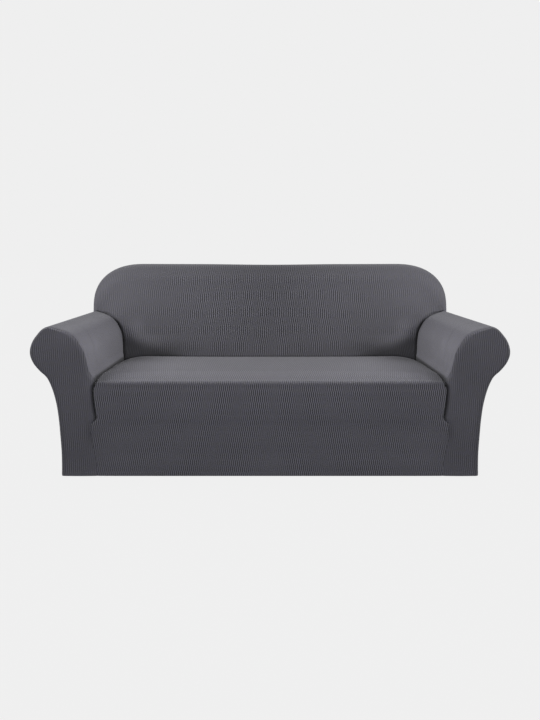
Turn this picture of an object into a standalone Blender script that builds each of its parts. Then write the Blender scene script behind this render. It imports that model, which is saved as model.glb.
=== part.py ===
"""A fitted sofa slipcover of stretch cloth, in the shape in which it stands when it is worn.

The cover is seven sewn panels of 2 mm cloth, open at the hem and hollow inside. Positions are worked out in a frame
that stands on the floor, with across along X, back along Y from the front of the arms, and up along Z. The part's
origin is just under the cloth at the middle of the top, where the cover is held up.
"""

import math

import bpy
import numpy as np

CLOTH = 0.002
SEAM = 0.0002
JUNCTION_SEAM = 0.0014
TUCK = 0.014
CREST_TUCK = (-0.002, 0.002, 0.0003)
SKIRT_TUCK = 0.012
LIP = 0.005
LIP_TUCK_SHARE = 0.3

HEM_UP = 0.0555
CREST_UP = 0.6970
REAR = 0.930
SEAT_CREASE_ACROSS = 0.744
SEAT_CREASE_BACK = 0.585
SEAT_CREASE_BOW = 0.027
SEAT_NARROWING = 0.060
SEAT_EDGE_UP = (0.452, 0.466)
CREASE_FALLOFF = 0.13
SEAT_INSETS = (0.0, LIP, 0.014, 0.032, 0.060, 0.100, 0.150, 0.260, 0.381, 0.502, 0.623, SEAT_CREASE_ACROSS)

# The front of the seat and skirt on the centre line, from the rear crease over the seat and down to the hem.
SEAT_PROFILE = (
    # back, up
    (0.580, 0.4830),
    (0.560, 0.4880),
    (0.500, 0.4920),
    (0.400, 0.4950),
    (0.300, 0.4950),
    (0.200, 0.4925),
    (0.120, 0.4875),
    (0.060, 0.4805),
    (0.020, 0.4720),
    (0.002, 0.4670),
    (-0.006, 0.4590),
    (-0.009, 0.4450),
    (-0.010, 0.4200),
    (-0.009, 0.3900),
    (-0.008, 0.3550),
    (-0.006, 0.3250),
    (-0.005, 0.3100),
    (-0.004, 0.3000),
    (-0.003, 0.2910),
    (-0.002, 0.2780),
    (-0.001, 0.2500),
    (-0.001, 0.2000),
    (0.000, 0.1500),
    (-0.001, 0.1000),
    (-0.001, HEM_UP),
)
# How high the crease beside each arm lies, from the front of the seat to its rear corner.
SEAT_SIDE_CREASE = (
    # back, up
    (0.000, 0.4640),
    (0.055, 0.4680),
    (0.130, 0.4760),
    (0.200, 0.4740),
    (0.290, 0.4720),
    (0.390, 0.4710),
    (0.530, 0.4640),
    (0.620, 0.4620),
)
# The edge between skirt and arm front, which is tucked in above and flush below.
SKIRT_EDGE = (
    # up, across, tuck
    (0.4780, 0.7375, SKIRT_TUCK),
    (0.4600, 0.7400, SKIRT_TUCK),
    (0.4400, 0.7460, SKIRT_TUCK),
    (0.4200, 0.7480, SKIRT_TUCK),
    (0.3650, 0.7450, SKIRT_TUCK),
    (0.3250, 0.7405, 0.011),
    (0.3100, 0.7390, 0.009),
    (0.3000, 0.7430, 0.006),
    (0.2910, 0.7520, 0.004),
    (0.2780, 0.7590, 0.003),
    (0.2500, 0.7625, 0.002),
    (0.1500, 0.7630, 0.002),
    (HEM_UP, 0.7630, 0.002),
)
# The arm in section, from the tucked edge beside the seat over the roll and down to the hem.
ARM_SECTION = (
    # across, up
    (0.7440, 0.4500),
    (0.7440, 0.4680),
    (0.7470, 0.4830),
    (0.7555, 0.5050),
    (0.7625, 0.5400),
    (0.7725, 0.5860),
    (0.7870, 0.6190),
    (0.8110, 0.6550),
    (0.8400, 0.6755),
    (0.8780, 0.6890),
    (0.9215, CREST_UP),
    (0.9495, 0.6875),
    (0.9720, 0.6655),
    (0.9925, 0.6380),
    (1.0055, 0.6050),
    (1.0060, 0.5736),
    (0.9930, 0.5400),
    (0.9690, 0.5090),
    (0.9450, 0.4860),
    (0.9320, 0.4630),
    (0.9180, 0.4230),
    (0.9060, 0.3650),
    (0.8995, 0.3000),
    (0.8965, 0.2300),
    (0.8945, 0.1500),
    (0.8975, HEM_UP),
)
# Where the inside of the arm ends against the back, by height.
ARM_END = (
    # up, back
    (0.4500, 0.6105),
    (0.4640, 0.6120),
    (0.4850, 0.6300),
    (0.5070, 0.6580),
    (0.5360, 0.6860),
    (0.5660, 0.7060),
    (0.5870, 0.7170),
    (0.6120, 0.7280),
    (0.6340, 0.7340),
    (0.6590, 0.7400),
    (0.6740, 0.7500),
    (0.6860, 0.7660),
    (CREST_UP, 0.7900),
)

INSIDE_POINTS = 15
OUTSIDE_POINTS = 17
ARM_SHARES = (1 / 6, 1 / 3, 1 / 2, 2 / 3, 5 / 6, 1)
ARM_MIDDLE_ACROSS = 0.85
ARM_WAIST_UP = 0.52
ARM_FOOT_UP = 0.48
ARM_FLARE = 0.018
ARM_FLARE_UP = (0.47, 0.32)
FRONT_EDGE_DEPTH = 0.006
FRONT_EDGE_WIDTH = 0.016
FRONT_ROUNDING = 0.004
FACING_CROWN = 0.06
REAR_ROUNDING = 0.008
# Stations behind the tucked front edge of the arm, with how far each is rounded in.
ARM_FRONT_STATIONS = ((CLOTH + 2 * SEAM, FRONT_ROUNDING), (0.009, 0.001), (0.020, 0.0))
# Stations of the arm's outer side behind its crease with the back, as shares of the way to the rear seam.
ARM_REAR_STATIONS = ((0.5, 0.0), (0.975, 0.0), (0.992, 0.003), (1.0, REAR_ROUNDING))
# Rows of the arm front above the seat, of FACING_TOP_POINTS that run evenly down its two edges, closer at the crest.
FACING_TOP_POINTS = 49
FACING_TOP_ROWS = (1, 3, 6, 10, 14, 18, 22, 26, 30, 34, 38, 43, 48)

# Where the tuck between arm and back deepens above the seat, turns over the roll and fades at the crest.
JUNCTION_TURN = math.pi / 4
JUNCTION_TURN_UP = (0.663, 0.693)
JUNCTION_FOOT_SHARE = 0.4
JUNCTION_FOOT_UP = (0.47, 0.53)
JUNCTION_CREST_SHARE = 0.2
JUNCTION_CREST_UP = (0.683, CREST_UP)

BACK_HALF_WIDTH = 0.933
BACK_CORNER_ACROSS = 0.663
BACK_CORNER_UP = 0.733
BACK_CORNER_POWER = 2.35
BACK_TOP_UP = 0.9447
BACK_TOP_DIP = 0.003
BACK_DIP_ACROSS = 0.553
BACK_LEAN = 0.24
BACK_BOW = 0.085
BACK_BOW_ACROSS = (0.20, 0.78)
BACK_BOW_HEIGHT = 0.13
BACK_EDGE_DEPTH_TOP = 0.075
BACK_EDGE_DEPTH_SIDE = 0.035
BACK_EDGE_TOP = 0.085
BACK_EDGE_SIDE = 0.075
BACK_CREASE_UP = 0.483
BACK_SETTLED_SHARE = 0.75
CORNER_RIM_SHARE = 0.65
SEAT_COLUMNS = 9
# Stations up the back from its foot to its rim, then from the rim to the rear seam with the way in from the outline.
BACK_SHARES = (0.0, 0.06, 0.14, 0.26, 0.40, 0.55, 0.70, 0.82, 0.90, 0.955, 0.985, 1.0)
BACK_TOP_STATIONS = ((0.35, 0.001), (0.7, 0.003), (0.95, 0.004), (1.0, REAR_ROUNDING))
OUTSIDE_BACK_TOP_SHARE = 0.6
OUTSIDE_BACK_TOP_ROWS = 14

RIM_POINTS = 400
ORIGIN = np.array([0.0, 0.777, BACK_TOP_UP - BACK_TOP_DIP - CLOTH])


def ease(value, start, end):
    """A smooth step from 0 at start to 1 at end."""
    t = np.clip((value - start) / (end - start), 0.0, 1.0)
    return t * t * (3 - 2 * t)


def smooth_path(rows, per_span=12):
    """Points of a Catmull-Rom curve through the rows."""
    knots = np.array(rows, float)
    knots = np.vstack([2 * knots[0] - knots[1], knots, 2 * knots[-1] - knots[-2]])
    t = np.linspace(0, 1, per_span, endpoint=False)[:, None]
    spans = []
    for before, start, end, after in zip(knots, knots[1:], knots[2:], knots[3:]):
        bend = 2 * before - 5 * start + 4 * end - after
        twist = 3 * start - before - 3 * end + after
        spans.append(start + 0.5 * ((end - before) * t + bend * t**2 + twist * t**3))
    return np.vstack(spans + [knots[-2:-1]])


def resample(path, count):
    """That many points along the path, evenly spaced."""
    steps = np.linalg.norm(np.diff(path, axis=0), axis=1)
    along = np.concatenate([[0.0], np.cumsum(steps)])
    wanted = np.linspace(0, along[-1], count)
    return np.column_stack([np.interp(wanted, along, column) for column in path.T])


def lookup(rows, key, column=1):
    """The table's column at this key, where the first column rises or falls all the way."""
    path = smooth_path(rows)
    order = np.argsort(path[:, 0])
    return np.interp(key, path[order, 0], path[order, column])


def unit(vectors):
    """The rows scaled to a length of 1."""
    return vectors / np.linalg.norm(vectors, axis=1)[:, None]


def section_normals(points):
    """The normal of each point of a flat path that is to the left of its direction."""
    ahead = unit(np.gradient(points, axis=0))
    return np.column_stack([-ahead[:, 1], ahead[:, 0]])


def cloth_material(name, colour):
    """A matt cloth of this colour."""
    material = bpy.data.materials.new(name)
    material.use_nodes = True
    shader = material.node_tree.nodes["Principled BSDF"]
    shader.inputs["Base Color"].default_value = (*colour, 1.0)
    shader.inputs["Roughness"].default_value = 0.9
    shader.inputs["Metallic"].default_value = 0.0
    return material


def cloth_panel(name, grid, material, hub, keep=None):
    """A panel of cloth: its outer face is the grid of points, and its thickness lies inside.

    The outer face looks away from the hub, a point inside the cover, and keep says which cells are cloth.
    """
    rows, columns = grid.shape[:2]
    cells = np.ones((rows - 1, columns - 1), bool) if keep is None else keep
    faces = []
    for i, j in zip(*np.nonzero(cells)):
        first = i * columns + j
        faces.append((first, first + 1, first + columns + 1, first + columns))
    points = grid.reshape(-1, 3) - ORIGIN
    used = sorted({corner for face in faces for corner in face})
    place = {corner: index for index, corner in enumerate(used)}
    faces = [tuple(place[corner] for corner in face) for face in faces]
    mesh = bpy.data.meshes.new(name)
    mesh.from_pydata(points[used].tolist(), [], faces)
    looks = 0.0
    for face in mesh.polygons:
        looks += face.area * np.dot(face.normal, np.array(face.center) + ORIGIN - hub)
    if looks < 0:
        mesh.flip_normals()
    mesh.materials.append(material)
    mesh.shade_smooth()
    panel = bpy.data.objects.new(name, mesh)
    bpy.context.scene.collection.objects.link(panel)
    thickness = panel.modifiers.new("thickness", "SOLIDIFY")
    thickness.thickness = CLOTH
    thickness.offset = -1
    thickness.use_even_offset = False
    return panel


def seat_rear(across):
    """How far back the seat's rear crease lies, bowed back towards the arms."""
    return SEAT_CREASE_BACK + SEAT_CREASE_BOW * (abs(across) / SEAT_CREASE_ACROSS) ** 3


def seat_side_rise(inset):
    """How far the seat has risen from a side crease to its crown, from 0 to 1."""
    return 1 - np.clip(1 - inset / CREASE_FALLOFF, 0, 1) ** 2


def seat_side_across(back):
    """Half the seat's width between the arms, which narrows at the front to the skirt's edge."""
    narrow = SEAT_CREASE_ACROSS - SKIRT_EDGE[0][1]
    return SEAT_CREASE_ACROSS - narrow * max(1 - back / SEAT_NARROWING, 0.0)


def seat_and_skirt(material):
    """The seat, its rounded front edge and the skirt, in rows from the rear tuck down to the hem."""
    profile = np.vstack([SEAT_PROFILE[:1], SEAT_PROFILE[:1], SEAT_PROFILE])
    drops = np.zeros(len(profile))
    drops[:2] = TUCK, TUCK / 4
    profile[:2, 0] = SEAT_CREASE_BACK - SEAM, SEAT_CREASE_BACK - LIP / 4
    rows = []
    for (back, up), drop in zip(profile, drops):
        on_seat = ease(up, *SEAT_EDGE_UP)
        edge = seat_side_across(back) if back > 0 else lookup(SKIRT_EDGE, up)
        tuck = TUCK * on_seat + lookup(SKIRT_EDGE, up, 2) * (1 - on_seat)
        row = []
        for inset in SEAT_INSETS:
            across = (edge - SEAM) * (1 - inset / SEAT_CREASE_ACROSS)
            rise = seat_side_rise(inset)
            tucked = tuck if inset == 0 else LIP_TUCK_SHARE * tuck if inset == LIP else 0.0
            stretched = back * seat_rear(across) / SEAT_CREASE_BACK
            side_up = lookup(SEAT_SIDE_CREASE, stretched)
            level = up + (side_up - up) * (1 - rise) * on_seat
            depth = stretched if back > 0 else back * rise
            depth = depth + tucked * (1 - on_seat)
            row.append((-across, depth, level - drop - tucked * on_seat))
        rows.append(row + [(-x, y, z) for x, y, z in row[-2::-1]])
    return cloth_panel("seat_and_skirt", np.array(rows), material, (0, 0.4, 0.2))


def arm_section():
    """Points round the arm's section, of which the first INSIDE_POINTS lead up to its crest."""
    path = smooth_path(ARM_SECTION)
    crest = int(np.argmax(path[:, 1]))
    inside = resample(path[: crest + 1], INSIDE_POINTS)
    outside = resample(path[crest:], OUTSIDE_POINTS + 1)
    return np.vstack([inside, outside[1:]])


def arm_junction():
    """Where the inside points of the right arm meet the back.

    Each has its place, the way in which both edges are tucked there, and the way from the arm's edge to the back's.
    """
    section = arm_section()
    normals = section_normals(section)[:INSIDE_POINTS]
    across, up = section[:INSIDE_POINTS].T
    line = np.column_stack([across, lookup(ARM_END, up), up])
    along = unit(np.gradient(line, axis=0))
    turn = JUNCTION_TURN * ease(up, *JUNCTION_TURN_UP)
    level = np.zeros(INSIDE_POINTS)
    arm_looks = np.column_stack([normals[:, 0], level, normals[:, 1]])
    back_looks = np.column_stack([np.sin(turn), -np.cos(turn), level])
    into = -(arm_looks + back_looks)
    into = unit(into - along * np.sum(into * along, axis=1)[:, None])
    apart = np.cross(along, into)
    apart *= np.sign(np.sum(apart * arm_looks, axis=1))[:, None]
    depth = JUNCTION_FOOT_SHARE + (1 - JUNCTION_FOOT_SHARE) * ease(up, *JUNCTION_FOOT_UP)
    depth *= 1 - (1 - JUNCTION_CREST_SHARE) * ease(up, *JUNCTION_CREST_UP)
    into *= TUCK * depth[:, None]
    into[-1] = CREST_TUCK
    apart[-1] = (0.0, 0.0, 1.0)
    return line, into, apart * JUNCTION_SEAM


def arm_point(across, up, back):
    """A point of the right arm: its outer side flares towards the rear, its inner foot turns in at the front."""
    if up > ARM_WAIST_UP:
        return (across, back, up)
    if across > ARM_MIDDLE_ACROSS:
        return (across + ARM_FLARE * (back / REAR) * ease(up, *ARM_FLARE_UP), back, up)
    turn = SEAT_CREASE_ACROSS - seat_side_across(back)
    return (across - turn * ease(up, ARM_WAIST_UP, ARM_FOOT_UP), back, up)


def arm(name, side, material):
    """One arm, in columns from its front edge back: the inside ones end at the back, the outside ones at the rear."""
    section = arm_section()
    normals = section_normals(section)
    line, into, apart = arm_junction()
    grid = []
    for index, ((across, up), normal) in enumerate(zip(section, normals)):
        inside = index < INSIDE_POINTS - 1
        edge = SKIRT_TUCK if inside and up < ARM_FOOT_UP else FRONT_EDGE_DEPTH
        column = []
        for behind, inset in ARM_FRONT_STATIONS:
            column.append(arm_point(across - normal[0] * inset, up - normal[1] * inset, edge + behind))
        column.append(arm_point(across, up, SEAT_NARROWING))
        end = line[index, 1] - apart[index, 1] if inside else ARM_END[-1][1]
        for share in ARM_SHARES:
            column.append(arm_point(across, up, SEAT_NARROWING + (end - SEAT_NARROWING) * share))
        if inside:
            column[-1] = tuple(line[index] - apart[index])
            column.append(tuple(line[index] - apart[index] + into[index]))
            column.extend([column[-1]] * len(ARM_REAR_STATIONS))
        else:
            start = end + 0.6 * TUCK
            column.append(arm_point(across, up, start))
            for share, inset in ARM_REAR_STATIONS:
                back = start + (REAR - CLOTH - SEAM - start) * share
                column.append(arm_point(across - normal[0] * inset, up - normal[1] * inset, back))
        grid.append([(side * x, y, z) for x, y, z in column])
    grid = np.array(grid)
    keep = np.ones((len(grid) - 1, grid.shape[1] - 1), bool)
    keep[: INSIDE_POINTS - 1, -len(ARM_REAR_STATIONS) :] = False
    return cloth_panel(name, grid, material, (side * 0.84, 0.4, 0.4), keep)


def arm_front(name, side, material):
    """The facing of one arm, in rows from its outer edge to its inner one, from the crest down to the hem."""
    path = smooth_path(ARM_SECTION)
    crest = int(np.argmax(path[:, 1]))
    inset_path = path - section_normals(path) * FRONT_ROUNDING
    corner_up = SKIRT_EDGE[0][0]
    outer, inner = inset_path[crest:], inset_path[: crest + 1][::-1]
    outer_top = outer[: np.argmax(outer[:, 1] < corner_up)]
    inner_top = inner[: np.argmax(inner[:, 1] < corner_up)]
    pairs = list(zip(resample(outer_top, FACING_TOP_POINTS), resample(inner_top, FACING_TOP_POINTS)))
    pairs = [pairs[row] for row in FACING_TOP_ROWS]
    for up in [up for back, up in SEAT_PROFILE if back < 0]:
        left = (np.interp(up, outer[::-1, 1], outer[::-1, 0]), up)
        pairs.append((np.array(left), np.array([lookup(SKIRT_EDGE, up) + SEAM, up])))
    grid = []
    for left, right in pairs:
        width = np.linalg.norm(right - left)
        edge = min(FRONT_EDGE_WIDTH, 0.4 * width) / width
        tuck = float(lookup(SKIRT_EDGE, right[1], 2)) if right[1] < corner_up else FRONT_EDGE_DEPTH
        row = []
        for share in (0, 0.35 * edge, edge, 0.3, 0.5, 0.7, 1 - edge, 1 - 0.35 * edge, 1):
            across, up = left + (right - left) * share
            near_left = max(0.0, 1 - share / edge) ** 2
            near_right = max(0.0, 1 - (1 - share) / edge) ** 2
            crown = FACING_CROWN * width * share * (1 - share)
            row.append((side * across, FRONT_EDGE_DEPTH * near_left + tuck * near_right - crown, up))
        grid.append(row)
    # The right one's rows run up from the hem, so that both fronts are wound the same way.
    return cloth_panel(name, np.array(grid[::-side]), material, (side * 0.84, 0.4, 0.4))


def back_outline(turn, inset=0.0):
    """A point of the back's outline: turn runs from 0 at the top's middle to 1 over the top, 2 round the corner."""
    side = BACK_HALF_WIDTH - inset
    top = BACK_TOP_UP - inset
    if turn <= 1:
        across = BACK_CORNER_ACROSS * turn
        return np.array([across, top - BACK_TOP_DIP * (1 - ease(across, 0, BACK_DIP_ACROSS))])
    angle = (turn - 1) * math.pi / 2
    power = 2 / BACK_CORNER_POWER
    across = BACK_CORNER_ACROSS + (side - BACK_CORNER_ACROSS) * math.sin(angle) ** power
    up = BACK_CORNER_UP + (top - BACK_CORNER_UP) * max(math.cos(angle), 0.0) ** power
    return np.array([across, up])


def back_rim(share, inset=0.0):
    """The back's outline from the top's middle at 0 to where it stands on the arm at 1."""
    turns = np.linspace(0, 2, 121)
    path = np.array([back_outline(turn, inset) for turn in turns])
    foot = (BACK_HALF_WIDTH - inset, CREST_UP + SEAM)
    path = np.vstack([path, foot])
    return resample(path, RIM_POINTS + 1)[int(round(share * RIM_POINTS))]


def back_face(across, up):
    """How far back the leaning front of the back lies, with its edge rounded over towards the outline."""
    x = abs(across)
    lean = seat_rear(min(x, SEAT_CREASE_ACROSS)) + SEAM + BACK_LEAN * (up - BACK_CREASE_UP)
    start, end = BACK_BOW_ACROSS
    bend = min(max(x - start, 0.0) / (end - start), 1.0)
    bow = BACK_BOW * bend * bend * (2 - bend) ** 0.5
    bow *= ease(up, ARM_END[1][0], ARM_END[1][0] + BACK_BOW_HEIGHT)
    over = max(x - BACK_CORNER_ACROSS, 0.0) / (BACK_HALF_WIDTH - BACK_CORNER_ACROSS)
    above = max(up - BACK_CORNER_UP, 0.0) / (BACK_TOP_UP - BACK_CORNER_UP)
    reach = (over**BACK_CORNER_POWER + above**BACK_CORNER_POWER) ** (1 / BACK_CORNER_POWER)
    sideways = over / (over + above) if over + above > 0 else 0.0
    radius = (BACK_TOP_UP - BACK_CORNER_UP) * (1 - sideways)
    radius += (BACK_HALF_WIDTH - BACK_CORNER_ACROSS) * sideways
    width = BACK_EDGE_TOP + (BACK_EDGE_SIDE - BACK_EDGE_TOP) * sideways
    depth = BACK_EDGE_DEPTH_TOP + (BACK_EDGE_DEPTH_SIDE - BACK_EDGE_DEPTH_TOP) * sideways
    near = np.clip(1 - (1 - min(reach, 1.0)) * radius / width, 0.0, 1.0)
    return lean + bow + depth * (1 - math.sqrt(1 - near * near))


def back_columns():
    """The foot of each column of the right half of the inside back, its tuck, and its share of the rim."""
    columns = []
    corner_up = float(lookup(SEAT_SIDE_CREASE, seat_rear(SEAT_CREASE_ACROSS)))
    for share in np.linspace(0, 1, SEAT_COLUMNS):
        across = (SEAT_CREASE_ACROSS - SEAM) * share
        up = corner_up + (BACK_CREASE_UP - corner_up) * seat_side_rise(SEAT_CREASE_ACROSS - across)
        foot = np.array([across, seat_rear(across) + SEAM, up])
        columns.append((foot, np.array([0.0, 0.0, -TUCK]), CORNER_RIM_SHARE * share))
    line, into, apart = arm_junction()
    shares = np.linspace(CORNER_RIM_SHARE, 1, INSIDE_POINTS)
    for index in range(1, INSIDE_POINTS):
        columns.append((line[index] + apart[index], into[index], shares[index]))
    return columns


def back_column(foot, into, share):
    """One column of the inside back, from its tucked foot up to the rim and over it to the rear seam."""
    rim = back_rim(share)
    offset = foot[1] - back_face(foot[0], foot[2])
    column = [foot + into]
    for part in BACK_SHARES:
        across, up = foot[[0, 2]] + (rim - foot[[0, 2]]) * part
        settle = 1 - ease(part, 0, BACK_SETTLED_SHARE)
        column.append(np.array([across, back_face(across, up) + offset * settle, up]))
    top = column[-1][1]
    for part, inset in BACK_TOP_STATIONS:
        across, up = back_rim(share, inset)
        column.append(np.array([across, top + (REAR - CLOTH - SEAM - top) * part, up]))
    return np.array(column)


def inside_back(material):
    """The leaning front of the back with its rounded top and corners, in columns that fan out over the arms."""
    right = [back_column(*column) for column in back_columns()]
    left = [column * (-1, 1, 1) for column in right[:0:-1]]
    return cloth_panel("inside_back", np.array(left + right), material, (0, 0.85, 0.5))


def outside_back(material):
    """The flat rear panel, whose rows run from the left outline to the right one."""
    section = arm_section()[INSIDE_POINTS - 1 :]
    section = section - section_normals(section) * REAR_ROUNDING
    shares = np.linspace(OUTSIDE_BACK_TOP_SHARE, 1, OUTSIDE_BACK_TOP_ROWS)
    outline = [back_rim(share, REAR_ROUNDING) for share in shares]
    outline += [np.array(arm_point(*point, REAR))[[0, 2]] for point in section[1:]]
    grid = []
    for across, up in outline:
        grid.append([(across * share, REAR, up) for share in (-1, 0, 1)])
    return cloth_panel("outside_back", np.array(grid), material, (0, 0.4, 0.5))


def build():
    """Clears the scene and makes the seven panels."""
    for thing in list(bpy.data.objects):
        bpy.data.objects.remove(thing, do_unlink=True)
    seat_cloth = cloth_material("seat_jacquard", (0.060, 0.059, 0.067))
    arm_cloth = cloth_material("arm_jacquard", (0.070, 0.069, 0.078))
    back_cloth = cloth_material("back_jacquard", (0.065, 0.064, 0.073))
    seat_and_skirt(seat_cloth)
    inside_back(back_cloth)
    outside_back(back_cloth)
    for word, side in (("left", -1), ("right", 1)):
        arm(f"arm_{word}", side, arm_cloth)
        arm_front(f"arm_front_{word}", side, arm_cloth)


build()
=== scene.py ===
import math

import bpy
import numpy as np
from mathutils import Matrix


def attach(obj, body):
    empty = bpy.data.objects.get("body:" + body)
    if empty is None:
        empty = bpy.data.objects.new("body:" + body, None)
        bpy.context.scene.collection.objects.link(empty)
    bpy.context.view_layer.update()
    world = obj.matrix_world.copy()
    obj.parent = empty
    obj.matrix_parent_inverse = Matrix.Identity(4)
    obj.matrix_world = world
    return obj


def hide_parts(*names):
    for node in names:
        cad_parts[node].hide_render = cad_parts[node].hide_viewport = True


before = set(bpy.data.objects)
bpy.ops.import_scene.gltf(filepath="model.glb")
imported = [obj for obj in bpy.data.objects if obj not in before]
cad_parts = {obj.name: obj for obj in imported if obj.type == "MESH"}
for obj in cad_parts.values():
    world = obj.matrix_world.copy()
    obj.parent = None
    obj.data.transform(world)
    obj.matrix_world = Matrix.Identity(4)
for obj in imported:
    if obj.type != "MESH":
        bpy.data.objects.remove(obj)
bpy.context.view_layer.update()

# A fitted sofa slipcover of dark grey stretch jacquard. Each sewn panel is a thin sheet on the folds of its
# solid, with finer creases, a folded hem and a weave of short ribs. Shapes are worked out in a frame that
# stands on the floor, with across along X, back along Y from the front of the arms, and up along Z.

# ---- The cloth, its seams and its creases, in metres ----

CLOTH = 0.002
SEAM = 0.0002
JUNCTION_SEAM = 0.0014
TUCK = 0.014
CREST_TUCK = (-0.002, 0.002, 0.0003)
SKIRT_TUCK = 0.012
# How far from a tucked edge the cloth starts to turn down into the crease, and how sharply.
LIP = 0.014
LIP_POWER = 2.2

# ---- The seat and the skirt ----

HEM_UP = 0.0555
REAR = 0.930
SEAT_CREASE_ACROSS = 0.744
SEAT_CREASE_BACK = 0.585
SEAT_CREASE_BOW = 0.027
SEAT_NARROWING = 0.060
SEAT_EDGE_UP = (0.452, 0.466)
CREASE_FALLOFF = 0.13
# The seat's rear edge leans forward into its crease, in rows at these parts of the lip.
REAR_TUCK_LEAN = TUCK / 8
REAR_TUCK_PARTS = (0.0, 0.15, 0.35, 0.6)
# The seam allowance of the skirt, turned back and laid behind the arm's front below the corner.
ALLOWANCE = 0.008
ALLOWANCE_DEPTH = 0.0045
ALLOWANCE_DROP = 0.003
ALLOWANCE_FALL = 0.001
ALLOWANCE_UP = (0.400, 0.430)

# The front of the seat and skirt on the centre line, from the rear crease over the seat and down to the hem.
SEAT_PROFILE = (
    # back, up
    (0.580, 0.4830),
    (0.560, 0.4880),
    (0.500, 0.4920),
    (0.400, 0.4950),
    (0.300, 0.4950),
    (0.200, 0.4925),
    (0.120, 0.4875),
    (0.060, 0.4805),
    (0.020, 0.4730),
    (0.002, 0.4700),
    (-0.005, 0.4665),
    (-0.0085, 0.4605),
    (-0.0092, 0.4530),
    (-0.009, 0.4450),
    (-0.010, 0.4200),
    (-0.009, 0.3900),
    (-0.008, 0.3550),
    (-0.006, 0.3250),
    (-0.005, 0.3100),
    (-0.004, 0.3000),
    (-0.003, 0.2910),
    (-0.002, 0.2780),
    (-0.001, 0.2500),
    (-0.001, 0.2000),
    (0.000, 0.1500),
    (-0.001, 0.1000),
    (-0.001, HEM_UP),
)
# How high the crease beside each arm lies, from the front of the seat to its rear corner.
SEAT_SIDE_CREASE = (
    # back, up
    (0.000, 0.4640),
    (0.055, 0.4680),
    (0.130, 0.4760),
    (0.200, 0.4740),
    (0.290, 0.4720),
    (0.390, 0.4710),
    (0.530, 0.4640),
    (0.620, 0.4620),
)
# The edge between skirt and arm front, which is tucked in above and flush below.
SKIRT_EDGE = (
    # up, across, tuck
    (0.4780, 0.7375, SKIRT_TUCK),
    (0.4600, 0.7400, SKIRT_TUCK),
    (0.4400, 0.7460, SKIRT_TUCK),
    (0.4200, 0.7480, SKIRT_TUCK),
    (0.3650, 0.7450, SKIRT_TUCK),
    (0.3250, 0.7405, 0.011),
    (0.3100, 0.7390, 0.009),
    (0.3000, 0.7430, 0.006),
    (0.2910, 0.7520, 0.004),
    (0.2780, 0.7600, 0.002),
    (0.2500, 0.7620, 0.0015),
    (0.2150, 0.7600, 0.001),
    (0.1700, 0.7520, 0.001),
    (0.1300, 0.7450, 0.001),
    (0.0900, 0.7415, 0.001),
    (HEM_UP, 0.7405, 0.001),
)

# ---- The arms and their fronts ----

CREST_UP = 0.6970
# The arm in section, from the tucked edge beside the seat over the roll and down to the hem.
ARM_SECTION = (
    # across, up
    (0.7440, 0.4400),
    (0.7440, 0.4680),
    (0.7470, 0.4830),
    (0.7555, 0.5050),
    (0.7625, 0.5400),
    (0.7725, 0.5860),
    (0.7870, 0.6190),
    (0.8110, 0.6550),
    (0.8400, 0.6755),
    (0.8780, 0.6890),
    (0.9215, CREST_UP),
    (0.9495, 0.6875),
    (0.9720, 0.6655),
    (0.9925, 0.6380),
    (1.0055, 0.6050),
    (1.0060, 0.5736),
    (0.9930, 0.5400),
    (0.9690, 0.5090),
    (0.9450, 0.4860),
    (0.9320, 0.4630),
    (0.9180, 0.4230),
    (0.9060, 0.3650),
    (0.8995, 0.3000),
    (0.8965, 0.2300),
    (0.8945, 0.1500),
    (0.8975, HEM_UP),
)
# Where the inside of the arm ends against the back, by height.
ARM_END = (
    # up, back
    (0.4500, 0.6105),
    (0.4640, 0.6120),
    (0.4850, 0.6300),
    (0.5070, 0.6580),
    (0.5360, 0.6860),
    (0.5660, 0.7060),
    (0.5870, 0.7170),
    (0.6120, 0.7280),
    (0.6340, 0.7340),
    (0.6590, 0.7400),
    (0.6740, 0.7500),
    (0.6860, 0.7660),
    (CREST_UP, 0.7900),
)

ARM_MIDDLE_ACROSS = 0.85
ARM_WAIST_UP = 0.52
ARM_FOOT_UP = 0.48
ARM_FLARE = 0.018
ARM_FLARE_UP = (0.47, 0.32)
# Below this the outer side is drawn in level, so that its hem stays level too.
ARM_LEVEL_UP = 0.1
# The arm's seam allowance, turned in behind its front.
ARM_ALLOWANCE = 0.006
FRONT_EDGE_DEPTH = 0.006
FRONT_EDGE_WIDTH = 0.016
FRONT_CORNER_UP = (0.478, 0.512)
FRONT_ROUNDING = 0.004
FRONT_ROUNDING_LENGTH = 0.014
FRONT_ROUNDING_UP = (0.474, 0.488)
FACING_CROWN = 0.06
FACING_CORNER_BLEND = 0.012
FACING_EDGE_WIDTH = 0.010
# No edge of the facing takes up more than this share of its width.
FACING_EDGE_LIMIT = 0.4
# The outer side runs on behind the place where the inner one ends, and is rounded over to the rear panel.
REAR_BEGIN = 0.6 * TUCK
REAR_ROUNDING = 0.008
REAR_ROUNDING_SHARE = 0.975
REAR_ROUNDING_PLACES = (0.983, 0.989, 0.994, 0.998, 1.0)
# Soft creases that the stretched cloth makes on the inside of the arm, as troughs and ridges along a line.
ARM_CREASES = (
    # up and back of both ends, width, height of the relief
    ((0.572, 0.142), (0.672, 0.202), 0.012, -0.0022),
    ((0.525, 0.158), (0.617, 0.239), 0.022, 0.0016),
    ((0.555, 0.261), (0.628, 0.383), 0.028, -0.0014),
    ((0.500, 0.085), (0.640, 0.112), 0.020, 0.0012),
    ((0.545, 0.026), (0.590, 0.031), 0.011, -0.0028),
    ((0.500, 0.330), (0.600, 0.560), 0.050, -0.0012),
)
# They fade out towards their ends, towards the seat and towards the back.
ARM_CREASE_REACH = 0.55
ARM_CREASE_UP = (0.48, 0.52)
ARM_CREASE_FADE = 0.05

# ---- The back, and the cleft between it and the arms ----

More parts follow.
